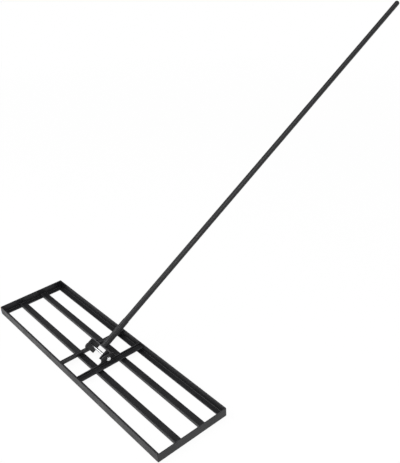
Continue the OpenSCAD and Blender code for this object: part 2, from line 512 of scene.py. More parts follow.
@dataclass(frozen=True)
class MouldedCap:
    """Polyethylene moulding.

    It gives the eye a matte black with a spark-eroded grain, drawn coarser than the real one, which
    is too fine to show.
    """

    name: str = "moulded_black_polyethylene"
    body: str = "#202021"
    pale: str = "#2c2c2d"
    roughness: tuple[float, float] = (0.5, 0.62)
    ior: float = 1.5
    grain_mm: float = 0.7
    grain_depth_mm: float = 0.03

    def material(self) -> bpy.types.Material:
        """Build the node material.

        Returns:
            The finish.
        """
        made, tree = new_tree(self.name)
        place = add_node(tree, "ShaderNodeTexCoord").outputs["Object"]
        grain = add_node(tree, "ShaderNodeTexNoise", {
            "Vector": place, "Scale": 1.0 / (self.grain_mm * MM), "Detail": 2.0}).outputs["Fac"]
        tint = add_node(tree, "ShaderNodeMix", {
            "Factor": grain, MIX_A: linear(self.body), MIX_B: linear(self.pale)},
            data_type="RGBA").outputs[MIX_OUT]
        gloss = add_node(tree, "ShaderNodeMapRange", {
            "Value": grain, "From Min": NOISE_SPREAD[0], "From Max": NOISE_SPREAD[1],
            "To Min": self.roughness[0], "To Max": self.roughness[1]}).outputs["Result"]
        bump = add_node(tree, "ShaderNodeBump", {
            "Height": grain, "Distance": self.grain_depth_mm * MM, "Strength": 1.0}).outputs["Normal"]
        shader = add_node(tree, "ShaderNodeBsdfPrincipled", {
            "Base Color": tint, "Roughness": gloss, "Normal": bump, "IOR": self.ior})
        add_node(tree, "ShaderNodeOutputMaterial", {"Surface": shader.outputs[0]})
        return made


class Workshop:
    """Turns shells into named pieces with a finish, a body and a slot."""

    def __init__(self) -> None:
        """Make the finishes once for all pieces."""
        self.finish: dict[Slot, bpy.types.Material] = {
            Slot.STEEL: PowderCoat().material(),
            Slot.ZINC: ZincPlate().material(),
            Slot.PLASTIC: MouldedCap().material(),
        }

    def piece(self, name: str, shell: Shell, body: Body, slot: Slot, *nodes: str) -> bpy.types.Object:
        """Make one piece of the rake.

        Args:
            name: Name of the piece.
            shell: Its surface in millimetres.
            body: Body that carries it.
            slot: Finish that it takes.
            *nodes: CAD nodes that it stands for.

        Returns:
            The new object, at the origin with its place in its mesh.
        """
        inside_out = volume(shell) < 0
        rows = [row for f in shell.faces for row in (f[:, ::-1] if inside_out else f).tolist()]
        mesh = bpy.data.meshes.new(name)
        mesh.from_pydata((shell.points * MM).tolist(), [], rows)
        layer = mesh.attributes.new(EDGE_LAYER, "FLOAT", "POINT")
        layer.data.foreach_set("value", shell.edge.astype(np.float32))
        work = bmesh.new()
        work.from_mesh(mesh)
        bmesh.ops.remove_doubles(work, verts=work.verts, dist=MERGE)
        work.to_mesh(mesh)
        work.free()
        mesh.shade_smooth()
        mesh.set_sharp_from_angle(angle=SHARP)
        mesh.materials.append(self.finish[slot])
        made = bpy.data.objects.new(name, mesh)
        bpy.context.scene.collection.objects.link(made)
        normals = made.modifiers.new("even_normals", "WEIGHTED_NORMAL")
        normals.keep_sharp = True
        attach(made, body.value)
        if nodes:
            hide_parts(*nodes)
        LOG.info("%s: %d points, %d faces", name, len(mesh.vertices), len(mesh.polygons))
        return made


@dataclass(frozen=True)
class Bead:
    """A weld bead: a round rope that swells once per scale and wanders a little.

    Attributes:
        pitch: Distance from one scale to the next in millimetres.
        rough: How much the scales show, 1 as welded and less where the bead was dressed.
        swell: Height of a scale as a share of the radius.
        sink: How far the valleys lie under the radius, as a share of it.
        drift: How far the rope wanders sideways, as a share of the radius.
        wave: Speed of the wander in radians per millimetre.
        shift: How the wander's start follows the bead's place, in radians per millimetre.
        askew: A direction that no bead runs in, which sets the rope's sideways axis.
        sides: Points around the rope.
        nose: Stations of the rounded nose at each end.
        per_scale: Stations per scale.
        fewest: Fewest stations between the noses.
    """

    pitch: float = 2.4
    rough: float = 1.0
    swell: float = 0.16
    sink: float = 0.1
    drift: float = 0.12
    wave: float = 0.55
    shift: tuple[float, float, float] = (0.13, 0.29, 0.41)
    askew: tuple[float, float, float] = (0.31, 0.57, 0.76)
    sides: int = 12
    nose: int = 5
    per_scale: int = 8
    fewest: int = 6

    def lay(self, start: Points, end: Points, radius: float) -> Shell:
        """Lay one bead along a straight line.

        The rope's radius is radius * full * (1 + rough * (swell * |sin(pi * s / pitch)| - sink)) at
        the distance s from its start, where full is a half circle over the noses and 1 between them.

        Args:
            start: First end of the bead's middle line.
            end: Second end.
            radius: Radius of the rope.

        Returns:
            The bead's shell.
        """
        start, end = np.asarray(start, float), np.asarray(end, float)
        length = float(np.linalg.norm(end - start))
        d = (end - start) / length
        a = unit(np.cross(d, self.askew))
        b = np.cross(d, a)
        nose = radius * (1 + np.sin(np.linspace(-QUARTER_TURN, 0.0, self.nose)))
        stations = max(self.fewest, int(self.per_scale * length / self.pitch))
        middle = np.linspace(radius, length - radius, stations)[1:-1]
        s = np.concatenate([nose, middle, length - nose[::-1]])
        near = np.clip(np.minimum(s, length - s), 0.0, radius)
        full = np.sqrt(np.clip(1.0 - (1.0 - near / radius) ** 2, 0.0, None))
        scale = 1.0 + self.rough * (self.swell * np.abs(np.sin(np.pi * s / self.pitch)) - self.sink)
        phase = float(start @ np.array(self.shift))
        drift = self.drift * self.rough * radius * np.sin(s * self.wave + phase)
        th = around(self.sides)
        r = (radius * full * scale)[:, None]
        loops = (start + s[:, None, None] * d + (r * np.cos(th) + drift[:, None])[..., None] * a
                 + (r * np.sin(th))[..., None] * b)
        return loft(loops, np.full((1, 1), WELD_EDGE))


@dataclass
class Head:
    """The welded grid: four mitred rails, two inner bars, two cross bars and two ears.

    The given values are what the solids leave to the scene, in millimetres. The rest comes from the
    frame.
    """

    # Radii of a rolled angle's edges, and the rubbed band beside them
    heel: float = 0.5
    tip: float = 0.4
    toe: float = 0.9
    root: float = 1.6
    angle_fade: float = 0.5
    stations: int = 9
    cross_stations: int = 5

    # How a rail ends under its corner weld
    corner: float = 1.4
    corner_ease: float = 0.5
    corner_dip: float = 0.4

    # Outline and rim of an ear plate
    ear_half: float = 24.0
    ear_lip: float = 1.5
    ear_corner: float = 12.0
    ear_fillet: float = 7.2
    ear_tip: float = 0.72
    ear_rim: float = 0.4
    ear_fade: float = 0.3
    ear_hole: float = 4.2
    ear_steps: int = 8
    hole_points: int = 40

    # Weld beads, and how far a dressed one reaches as a share of its radius
    weld: Bead = Bead()
    dressed: Bead = Bead(pitch=1.7, rough=0.25)
    dressed_reach: float = 1.05

    # Radii of the beads, and how far they keep from an edge and from the bolt
    inside_r: float = 1.9
    mitre_r: float = 1.5
    bar_side_r: float = 2.0
    bar_end_r: float = 1.8
    bar_leg_r: float = 1.4
    cross_foot_r: float = 1.7
    cross_leg_r: float = 1.6
    ear_back_r: float = 1.1
    ear_face_r: float = 1.5
    ear_end_r: float = 1.3
    keep_off: float = 1.0
    bolt_room: float = 12.0

    # Sizes and places that the frame gives
    half_l: float = field(init=False)
    half_w: float = field(init=False)
    rail_h: float = field(init=False)
    flange: float = field(init=False)
    thick: float = field(init=False)
    bars: tuple[float, float] = field(init=False)
    bar_w: float = field(init=False)
    bar_h: float = field(init=False)
    cross_x: float = field(init=False)
    cross_w: float = field(init=False)
    cross_h: float = field(init=False)
    ear_t: float = field(init=False)
    ear_foot: float = field(init=False)
    ear_rise: float = field(init=False)

    def __post_init__(self) -> None:
        """Take the sizes and places of the bars and ears from the frame."""
        self.half_l = span("front_rail", X)[1]
        self.rail_h = span("front_rail", Z)[1]
        inside, self.half_w = span("rear_rail", Y)
        self.flange = self.half_w - inside
        self.thick, bar_top = span("front_inner_bar", Z)
        self.bar_h = bar_top - self.thick
        near, far = span("front_inner_bar", Y), span("rear_inner_bar", Y)
        self.bar_w = near[1] - near[0]
        self.bars = (sum(near) / 2, sum(far) / 2)
        self.cross_x, cross_end = span("right_crossbar", X)
        self.cross_w = cross_end - self.cross_x
        self.cross_h = span("right_crossbar", Z)[1] - bar_top
        inner, outer = span("right_ear", X)
        self.ear_t = outer - inner
        self.ear_foot = span("right_ear", Y, PIVOT)[1]
        self.ear_rise = span("right_ear", Z, PIVOT)[1]

    def angle(self, flange: float, leg: float) -> tuple[Array, Array]:
        """Outline a rolled angle: crisp heel, round toes and a filleted root.

        Args:
            flange: Width of its flat side.
            leg: Height of its upright side.

        Returns:
            The outline's points, with the heel at zero, and their edge values.
        """
        t = self.thick
        corners = [(0, 0), (flange, 0), (flange, t), (t, t), (t, leg), (0, leg)]
        radii = [self.heel, self.tip, self.toe, self.root, self.toe, self.heel]
        return rounded(corners, radii, fade=self.angle_fade)

    def rail(self, half: float, out: float) -> Shell:
        """Sweep a rail along X.

        The ends follow the mitre, place = half - u, where u is the depth behind the outer face. They
        stop short of the outer corner, and their outer edge dips under the weld that sits there.

        Args:
            half: Half its length.
            out: How far its outer face lies from the middle, towards -Y.

        Returns:
            The rail's shell.
        """
        p, edge = self.angle(self.flange, self.rail_h)
        reach = half - np.maximum(p[:, 0], self.corner)
        middle = np.linspace(-1.0, 1.0, self.stations)[:, None] * (reach - self.corner_ease)
        along = np.concatenate([-reach[None], middle, reach[None]])
        depth = np.repeat(p[None, :, 0], len(along), 0)
        depth[[0, -1]] = np.maximum(depth[[0, -1]], self.corner_dip)
        loops = np.stack(np.broadcast_arrays(along, depth - out, p[:, 1]), 2)
        return loft(loops, edge[None])

    def turned_rail(self, half: float, out: float, quarter: int) -> Shell:
        """Turn a rail about the vertical.

        Args:
            half: Half its length.
            out: How far its outer face lies from the middle.
            quarter: Number of quarter turns.

        Returns:
            The rail's shell on its side of the frame.
        """
        c, s = round(np.cos(quarter * QUARTER_TURN)), round(np.sin(quarter * QUARTER_TURN))
        return moved(self.rail(half, out), [[c, s, 0], [-s, c, 0], [0, 0, 1]], [0, 0, 0])

    def inner_bar(self, middle: float) -> Shell:
        """Sweep a low angle along X, its leg on the near side.

        Args:
            middle: Place of its middle along Y.

        Returns:
            The bar's shell.
        """
        p, edge = self.angle(self.bar_w, self.bar_h)
        t = np.linspace(-1.0, 1.0, self.stations)[:, None] * (self.half_l - self.thick)
        loops = np.stack(np.broadcast_arrays(t, p[:, 0] + middle - self.bar_w / 2, p[:, 1] + self.thick), 2)
        return loft(loops, edge[None])

    def cross_bar(self, side: int) -> Shell:
        """Sweep a cross bar along Y, its flange pointing away from the yoke.

        Args:
            side: -1 for the left one, 1 for the right one.

        Returns:
            The bar's shell.
        """
        base = self.thick + self.bar_h
        p, edge = self.angle(self.cross_w, self.cross_h)
        t = np.linspace(-1.0, 1.0, self.cross_stations)[:, None] * (self.half_w - self.thick)
        loops = np.stack(np.broadcast_arrays(side * (self.cross_x + p[:, 0]), t, p[:, 1] + base), 2)
        return loft(loops, edge[None])

    def ear(self, side: int) -> Shell:
        """Cut an ear plate: round shoulders, a bolt hole and a foot that flares on the cross bar.

        Args:
            side: -1 for the left one, 1 for the right one.

        Returns:
            The plate's shell.
        """
        low = self.thick + self.bar_h + self.cross_h - PIVOT[2]
        foot = low + self.ear_lip
        w, f, top = self.ear_half, self.ear_foot, self.ear_rise
        corners = [(-f, low), (f, low), (f, foot), (w, foot), (w, top), (-w, top), (-w, foot), (-f, foot)]
        tip, fillet, shoulder = self.ear_tip, self.ear_fillet, self.ear_corner
        radii = [tip, tip, tip, fillet, shoulder, shoulder, fillet, tip]
        outline, _ = rounded(corners, radii, self.ear_steps, 0.0)
        th = -around(self.hole_points)
        hole = self.ear_hole * np.stack([np.cos(th), np.sin(th)], 1)
        flat = np.concatenate([outline, hole])
        rings = [[Vector((u, v, 0.0)) for u, v in ring] for ring in (outline, hole)]
        tri = np.array(tessellate_polygon(rings))
        p = flat[tri]
        area = np.cross(p[:, 1] - p[:, 0], p[:, 2] - p[:, 0])
        tri[area < 0] = tri[area < 0][:, ::-1]
        mid = side * (self.cross_x + self.ear_t / 2)
        sheet = plate(flat, tri, self.ear_t, self.ear_rim, self.ear_fade)
        return moved(sheet, [[0, 1, 0], [0, 0, 1], [side, 0, 0]], [mid, PIVOT[1], PIVOT[2]])

    def corner_welds(self) -> Shell:
        """Weld the four mitres: outer corner, inner corner and the seam across the flanges.

        Returns:
            All their beads.
        """
        low, high = 0.3, self.rail_h - 0.2
        inner_high = self.rail_h - 2.0
        seam = self.thick - 0.5
        beads = []
        for sx, sy in product(BOTH, BOTH):
            corner = np.array([sx * self.half_l, sy * self.half_w, 0.0])
            inward = np.array([-sx, -sy, 0.0])
            outer = corner + self.corner * inward
            inner = corner + self.thick * inward
            toe = corner + self.flange * inward
            beads += [
                self.dressed.lay(outer + low * Z, outer + high * Z, self.corner / self.dressed_reach),
                self.weld.lay(inner + self.thick * Z, inner + inner_high * Z, self.inside_r),
                self.weld.lay(inner + seam * Z, toe + seam * Z, self.mitre_r),
            ]
        return joined(beads)

    def bar_welds(self) -> Shell:
        """Weld the inner bars to the end rails' flanges and legs.

        Returns:
            All their beads.
        """
        t, lay = self.thick, self.weld.lay
        inner = self.half_l - self.flange
        side_z = t + 0.2
        leg_low, leg_high = t + 2.0, t + self.bar_h - 0.5
        beads = []
        for sx, middle in product(BOTH, self.bars):
            near, far = middle - self.bar_w / 2, middle + self.bar_w / 2
            leg = near + 0.4
            x0, x1 = sx * (inner + self.keep_off), sx * (self.half_l - t)
            beads += [
                lay([x0, near, side_z], [x1, near, side_z], self.bar_side_r),
                lay([x0, far, side_z], [x1, far, side_z], self.bar_side_r),
                lay([x1, near + t, 2 * t], [x1, far - self.keep_off, 2 * t], self.bar_end_r),
                lay([x1, leg, leg_low], [x1, leg, leg_high], self.bar_leg_r),
            ]
        return joined(beads)

    def cross_welds(self) -> Shell:
        """Weld the cross bars to the inner bars' legs and to the long rails.

        Returns:
            All their beads.
        """
        t, lay = self.thick, self.weld.lay
        foot, side = self.cross_foot_r, self.cross_leg_r
        base = t + self.bar_h
        low, top = base + self.keep_off, base + self.cross_h - 1.2
        start, end = self.cross_x + 0.5, self.cross_x + self.cross_w - 0.8
        beads = []
        for sx in BOTH:
            x0, x1, back = sx * start, sx * end, sx * self.cross_x
            face = back + sx * t
            for middle in self.bars:
                near = middle - self.bar_w / 2
                beads += [lay([x0, y, base], [x1, y, base], foot) for y in (near, near + t)]
            for sy in BOTH:
                y = sy * (self.half_w - t)
                beads += [
                    lay([face, y, base + t], [x1, y, base + t], foot),
                    lay([back, y, low], [back, y, top], side),
                    lay([face, y, base + t], [face, y, top], side),
                ]
        return joined(beads)

    def ear_welds(self) -> Shell:
        """Weld each ear to its cross bar's leg: stitches on both faces and across the ends.

        Returns:
            All their beads.
        """
        lay = self.weld.lay
        z = self.thick + self.bar_h + self.cross_h
        end_z = z + 0.3
        beads = []
        for sx, sy in product(BOTH, BOTH):
            back, face = sx * self.cross_x, sx * (self.cross_x + self.ear_t)
            start, end = PIVOT[1] + sy * self.bolt_room, PIVOT[1] + sy * self.ear_foot
            beads += [
                lay([back, start, z], [back, end, z], self.ear_back_r),
                lay([face, start, z], [face, end, z], self.ear_face_r),
                lay([back, end, end_z], [face, end, end_z], self.ear_end_r),
            ]
        return joined(beads)

    def build(self, shop: Workshop) -> None:
        """Make every piece of the grid.

        Args:
            shop: Maker of the pieces.
        """
        long, wide = self.half_l, self.half_w
        rails = (("front_rail", long, wide, 0), ("rear_rail", long, wide, 2),
                 ("left_end_rail", wide, long, 3), ("right_end_rail", wide, long, 1))
        for name, half, out, quarter in rails:
            shop.piece(f"{name}_angle", self.turned_rail(half, out, quarter), Body.HEAD, Slot.STEEL, name)
        for name, middle in zip(("front_inner_bar", "rear_inner_bar"), self.bars):
            shop.piece(f"{name}_angle", self.inner_bar(middle), Body.HEAD, Slot.STEEL, name)
        for word, side in zip(("left", "right"), BOTH):
            bar, ear = f"{word}_crossbar", f"{word}_ear"
            shop.piece(f"{bar}_angle", self.cross_bar(side), Body.HEAD, Slot.STEEL, bar)
            shop.piece(f"{ear}_plate", self.ear(side), Body.HEAD, Slot.STEEL, ear)
        welds = (("corner_welds", self.corner_welds()), ("inner_bar_welds", self.bar_welds()),
                 ("crossbar_welds", self.cross_welds()), ("ear_welds", self.ear_welds()))
        for name, shell in welds:
            shop.piece(name, shell, Body.HEAD, Slot.STEEL)


@dataclass
class PivotHardware:
    """The bright bolt, nut and washers that the yoke turns on, drawn along X through the pivot."""

    # The bolt's shank and thread
    shank: float = 4.0
    shank_stations: int = 12
    thread_end: float = -40.0
    thread_pitch: float = 1.25
    thread_depth: float = 0.6
    thread_steps: int = 8
    runout: float = 3.0
    tip_r: float = 3.0

    # The cones on the hexagons, the dish in the bolt's head and the nut's bore
    face_r: float = 6.15
    cone_deg: float = 30.0
    cone_reach: float = 1.2
    cone_stations: int = 7
    dish_depth: tuple[float, float, float] = (0.0, 0.12, 0.25)
    dish_r: tuple[float, float, float] = (5.85, 5.2, 4.9)
    bore: float = 4.05
    countersink: float = 0.5

    # The washers
    hole: float = 4.2
    ring_ease: float = 0.35
    sides: int = 72

    # Sizes and places that the frame gives
    flats: float = field(init=False)
    head: tuple[float, float] = field(init=False)
    nut: tuple[float, float] = field(init=False)
    tail: float = field(init=False)
    ring_r: float = field(init=False)

    def __post_init__(self) -> None:
        """Take the places along the bolt and the outer sizes from the frame."""
        low, high = span("pivot_nut", Z)
        self.flats = high - low
        self.nut = span("pivot_nut", X)
        self.tail, top = span("pivot_bolt", X)
        self.head = (span("right_ear", X)[1], top)
        self.ring_r = span("nut_washer", Y, PIVOT)[1]

    def hexagon(self) -> Array:
        """Work out the hexagon, with two of its flats facing up and down.

        Returns:
            Its radius at each angle: half the flats over the cosine from the nearest flat.
        """
        flat, half = FULL_TURN / 6, FULL_TURN / 12
        off = np.mod(around(self.sides) - QUARTER_TURN + half, flat) - half
        return self.flats / 2 / np.cos(off)

    def hex_side(self, start: float, end: float, both: bool) -> tuple[Array, Array]:
        """Work out a hexagonal side whose ends are turned to a cone.

        Args:
            start: Lower place along the axis.
            end: Upper place.
            both: True where both ends are coned, otherwise only the upper one.

        Returns:
            Places along the axis and the radius at each place and angle.
        """
        cone = np.linspace(0.0, self.cone_reach, self.cone_stations)
        x = np.concatenate([start + cone, end - cone[::-1]])
        slope = 1.0 / np.tan(np.radians(self.cone_deg))
        limit = self.face_r + (end - x) * slope
        if both:
            limit = np.minimum(limit, self.face_r + (x - start) * slope)
        return x, np.minimum(self.hexagon()[None], limit[:, None])

    def on_bolt(self, x: Array, r: Array) -> Array:
        """Put loops about the pivot axis: y = r cos(angle) and z = r sin(angle) from the pivot.

        Args:
            x: Place of each loop along the axis.
            r: Radius at each place and angle.

        Returns:
            The loops' points.
        """
        th = around(self.sides)[None]
        return np.stack(np.broadcast_arrays(x[:, None], r * np.cos(th), r * np.sin(th)), 2) + PIVOT

    def even(self, radii: tuple[float, ...]) -> Array:
        """Repeat each radius all the way round."""
        return np.repeat(np.array(radii)[:, None], self.sides, 1)

    def bolt(self) -> Shell:
        """Turn the bolt: threaded tail, plain shank and a coned hexagonal head with a dished top.

        The thread is r = shank - depth * |2 frac(x / pitch + angle / turn) - 1|, with a chamfered tip.

        Returns:
            The bolt's shell.
        """
        x = np.arange(self.tail, self.thread_end, self.thread_pitch / self.thread_steps)
        th = around(self.sides)[None] / FULL_TURN
        ridge = np.abs(2 * np.mod(x[:, None] / self.thread_pitch + th, 1.0) - 1)
        runout = np.clip((self.thread_end - x) / self.runout, 0.0, 1.0)[:, None]
        thread = self.shank - self.thread_depth * ridge * runout
        thread = np.minimum(thread, self.tip_r + (x - self.tail)[:, None])
        plain_x = np.linspace(self.thread_end, self.head[0], self.shank_stations)
        plain = np.full((self.shank_stations, self.sides), self.shank)
        side_x, side = self.hex_side(self.head[0], self.head[1], False)
        top_x = self.head[1] - np.array(self.dish_depth)
        places = np.concatenate([x, plain_x, side_x, top_x])
        radii = np.concatenate([thread, plain, side, self.even(self.dish_r)])
        return loft(self.on_bolt(places, radii), np.zeros((1, 1)))

    def nut_shell(self) -> Shell:
        """Turn the nut: a hexagon coned at both ends around a countersunk bore.

        Returns:
            The nut's shell.
        """
        low, high = self.nut
        sink, wide = self.countersink, self.bore + self.countersink
        x, r = self.hex_side(low, high, True)
        bore_x = np.array([high, high - sink, low + sink, low])
        bore = self.even((wide, self.bore, self.bore, wide))
        loops = self.on_bolt(np.concatenate([x, bore_x]), np.concatenate([r, bore]))
        return loft(loops, np.zeros((1, 1)), True)

    def ring(self, node: str) -> Shell:
        """Turn a washer or a spacer where its CAD node lies along X."""
        start, end = span(node, X)
        return moved(tube(start, end, self.hole, self.ring_r, self.ring_ease), np.eye(3), PIVOT)

    def build(self, shop: Workshop) -> None:
        """Make the bolt, the nut, its washer and the two spacers beside the yoke.

        Args:
            shop: Maker of the pieces.
        """
        shop.piece("hex_bolt", self.bolt(), Body.HEAD, Slot.ZINC, "pivot_bolt")
        shop.piece("hex_nut", self.nut_shell(), Body.HEAD, Slot.ZINC, "pivot_nut")
        for name in ("nut_washer", "left_spacer", "right_spacer"):
            shop.piece(f"{name}_ring", self.ring(name), Body.HEAD, Slot.ZINC, name)


@dataclass
class Handle:
    """The yoke and the long pole, drawn along the handle from the pivot.

    The given values are what the solids leave to the scene, in millimetres. The rest comes from the
    frame.
    """

    # The yoke's strap, with the points in its rows and columns of faces
    strap_t: float = 3.0
    strap_rim: float = 0.45
    strap_fade: float = 0.6
    bend_mid: float = 4.5
    tip_round: float = 1.5
    tip_steps: int = 5
    hole: float = 4.05
    hole_collar: float = 2.4
    strap_columns: int = 21
    tip_columns: int = 17
    arm_rows: int = 9
    bend_rows: int = 9
    web_rows: int = 13

    # The socket and the weld round its foot
    socket_play: float = 0.05
    socket_wall: float = 0.95
    weld_r: float = 1.75
    weld_valley: float = 0.9
    weld_swell: float = 0.16
    weld_out: float = 0.1
    weld_up: float = 0.2
    weld_scales: int = 24
    weld_stations: int = 160
    weld_sides: int = 14

    # The pole's sections and bushes
    pole_wall: float = 0.8
    plug_play: float = 0.05
    plug_wall: float = 1.6
    bush_ease: float = 0.3
    bush_root: float = 0.1
    rim_ease: float = 0.15
    bush_fade: float = 0.1

    # The end cap
    cap_rim: float = 1.5
    cap_ease: float = 0.02
    cap_lead: float = 1.0
    cap_lip: float = 0.25
    dome_steps: int = 10

    # Directions, sizes and places that the frame gives
    axes: Array = field(init=False)
    arm_mid: float = field(init=False)
    strap_w: float = field(init=False)
    tail: float = field(init=False)
    reach: float = field(init=False)
    pole_r: float = field(init=False)
    plug_r: float = field(init=False)

    def __post_init__(self) -> None:
        """Work out the axes, along the handle, across the head and square to both, and take sizes."""
        self.axes = np.array([ALONG, X, np.cross(X, ALONG)])
        self.arm_mid = span("yoke", X)[1] - self.strap_t / 2
        self.strap_w = 2 * span("yoke", self.axes[2], PIVOT)[1]
        low, self.reach = span("yoke", ALONG, PIVOT)
        self.tail = -low
        self.pole_r = span("lower_pole", X)[1]
        self.plug_r = self.pole_r - self.pole_wall - self.plug_play

    def on_pole(self, shell: Shell) -> Shell:
        """Carry a shell turned about its first axis onto the handle."""
        return moved(shell, self.axes, PIVOT)

    def strap_sheet(self) -> tuple[Array, Array]:
        """Lay out the yoke's strap flat.

        Each arm is a ring of faces between its bolt hole and its outline; bends and web are a grid.

        Returns:
            Points (place from the strap's middle, place across) and faces.
        """
        half_w, r = self.strap_w / 2, self.tip_round
        web = self.arm_mid - self.bend_mid
        arm = web + self.bend_mid * QUARTER_TURN
        tip = arm + self.tail + self.reach - self.bend_mid - self.strap_t / 2
        hole = np.array([tip - self.tail, 0.0])
        across = np.linspace(-half_w, half_w, self.strap_columns)
        down = np.linspace(arm, tip - r, self.arm_rows)
        arc = np.linspace(0.0, QUARTER_TURN, self.tip_steps)[1:-1]
        low = np.stack([down, np.full_like(down, -half_w)], 1)
        curve = np.stack([tip - r + r * np.sin(arc), half_w - r + r * np.cos(arc)], 1)
        end_v = np.linspace(-half_w + r, half_w - r, self.tip_columns)
        end = np.stack([np.full_like(end_v, tip), end_v], 1)
        inner = np.stack([np.full(len(across) - 2, arm), across[-2:0:-1]], 1)
        mirror = [1, -1]
        outline = np.concatenate([low, curve * mirror, end, curve[::-1], low[::-1] * mirror, inner])
        ray = self.hole * unit(outline - hole)
        patch = np.concatenate([hole + ray, hole + self.hole_collar * ray, outline])
        quads = between(3, len(outline))[:, FLIP]
        bend = np.linspace(web, arm, self.bend_rows)
        u = np.concatenate([-bend[::-1], np.linspace(-web, web, self.web_rows)[1:-1], bend])
        grid = np.stack(np.meshgrid(u, across, indexing="ij"), 2).reshape(-1, 2)
        cells = between(len(u), len(across), wrap=False)[:, FLIP]
        points = np.concatenate([grid, patch, patch * [-1, 1]])
        faces = np.concatenate([cells, quads + len(grid), quads[:, ::-1] + len(grid) + len(patch)])
        _, first, same = np.unique(np.round(points, 6), axis=0, return_index=True, return_inverse=True)
        return points[first], same.ravel()[faces]

    def bent(self, shell: Shell) -> Shell:
        """Bend the flat strap to a U: web, two quarter bends of one radius, and two arms.

        Args:
            shell: The strap, in (place from its middle, place across, height).

        Returns:
            The bent strap in (along the handle, across the head, square to both).
        """
        s, w, h = shell.points.T
        web = self.arm_mid - self.bend_mid
        side, far = np.sign(s), np.abs(s)
        a = np.clip((far - web) / self.bend_mid, 0.0, QUARTER_TURN)
        centre = self.reach - self.strap_t / 2 - self.bend_mid
        r = self.bend_mid + h
        x = np.minimum(far, web) + r * np.sin(a)
        along = centre + r * np.cos(a) - np.maximum(far - web - self.bend_mid * QUARTER_TURN, 0.0)
        return Shell(np.stack([along, side * x, w], 1), shell.faces, shell.edge)

    def yoke(self) -> Shell:
        """Give the strap its thickness, bend it and carry it onto the handle."""
        sheet = plate(*self.strap_sheet(), self.strap_t, self.strap_rim, self.strap_fade)
        return self.on_pole(self.bent(sheet))

    def pole(self, node: str) -> Shell:
        """Turn a pole section where its CAD node lies along the handle."""
        start, end = span(node, ALONG, PIVOT)
        return self.on_pole(tube(start, end, self.pole_r - self.pole_wall, self.pole_r))

    def socket(self) -> Shell:
        """Turn the socket round the pole's foot.

        Returns:
            The socket's shell.
        """
        start, end = span("socket_tube", ALONG, PIVOT)
        bore = self.pole_r + self.socket_play
        return self.on_pole(tube(start, end, bore, bore + self.socket_wall))

    def socket_weld(self) -> Shell:
        """Run a weld round the socket's foot: a torus whose rope swells once per scale.

        Returns:
            The weld's shell.
        """
        th = around(self.weld_stations)
        ph = around(self.weld_sides)
        swell = self.weld_swell * np.abs(np.sin(th * self.weld_scales / 2))
        rope = self.weld_r * (self.weld_valley + swell)[:, None]
        middle = self.pole_r + self.socket_play + self.socket_wall + self.weld_out
        ring = middle + rope * np.cos(ph)
        along = self.reach + self.weld_up + rope * np.sin(ph)
        loops = np.stack([along, ring * np.cos(th)[:, None], ring * np.sin(th)[:, None]], 2)
        return self.on_pole(loft(loops, np.full((1, 1), WELD_EDGE), True))

    def joint(self, node: str, below: str, above: str) -> Shell:
        """Turn the bush between two pole sections: a thin sunk rim with a plug on either side.

        Args:
            node: CAD node of the bush.
            below: CAD node of the section under it.
            above: CAD node of the section over it.

        Returns:
            The bush's shell.
        """
        lo, hi = span(node, ALONG, PIVOT)
        start, end = span(below, ALONG, PIVOT)[1], span(above, ALONG, PIVOT)[0]
        r, p = span(node, X)[1], self.plug_r
        b = p - self.plug_wall
        corners = [(lo, b), (hi, b), (hi, p), (end, p), (end, r), (start, r), (start, p), (lo, p)]
        ease, root, rim = self.bush_ease, self.bush_root, self.rim_ease
        radii = [ease, ease, ease, root, rim, rim, root, ease]
        profile, edge = rounded(corners, radii, steps=2, fade=self.bush_fade)
        return self.on_pole(turned(profile, edge, True))

    def end_cap(self) -> Shell:
        """Turn the cap: a plug in the pole, a short rim and a dome on a quarter round.

        Returns:
            The cap's shell.
        """
        foot_end, top = span("end_cap", ALONG, PIVOT)
        seat = span("upper_pole", ALONG, PIVOT)[1]
        rim = seat + self.cap_rim
        r = span("end_cap", X)[1] - self.cap_ease
        plug, lead, lip = self.plug_r, self.cap_lead, self.cap_lip
        a = np.linspace(0.0, QUARTER_TURN, self.dome_steps)
        dome = top - self.cap_ease - rim
        arc = np.stack([rim + dome * np.sin(a), r - dome + dome * np.cos(a)], 1)
        foot = np.array([[foot_end, 0.0], [foot_end, plug - lead], [foot_end + lead, plug],
                         [seat, plug], [seat, r - lip], [seat + lip, r]])
        profile = np.concatenate([foot, arc, [[rim + dome, 0.0]]])
        return self.on_pole(turned(profile, np.zeros(len(profile)), False))

    def build(self, shop: Workshop) -> None:
        """Make the yoke, the socket, the pole sections with their bushes, and the cap.

        Args:
            shop: Maker of the pieces.
        """
        shop.piece("yoke_strap", self.yoke(), Body.HANDLE, Slot.STEEL, "yoke")
        shop.piece("socket_sleeve", self.socket(), Body.HANDLE, Slot.STEEL, "socket_tube")
        shop.piece("socket_weld_ring", self.socket_weld(), Body.HANDLE, Slot.STEEL)
        poles = ("lower_pole", "middle_pole", "upper_pole")
        for name in poles:
            shop.piece(f"{name}_section", self.pole(name), Body.HANDLE, Slot.STEEL, name)
        for name, below, above in zip(("lower_joint", "upper_joint"), poles, poles[1:]):
            shop.piece(f"{name}_bush", self.joint(name, below, above), Body.HANDLE, Slot.STEEL, name)
        shop.piece("handle_end_cap", self.end_cap(), Body.HANDLE, Slot.PLASTIC, "end_cap")


@dataclass(frozen=True)
class Lamp:
    """One soft square studio lamp, in metres and watts."""

    name: str
    place: tuple[float, float, float]
    aim: tuple[float, float, float]
    size: float
    watts: float


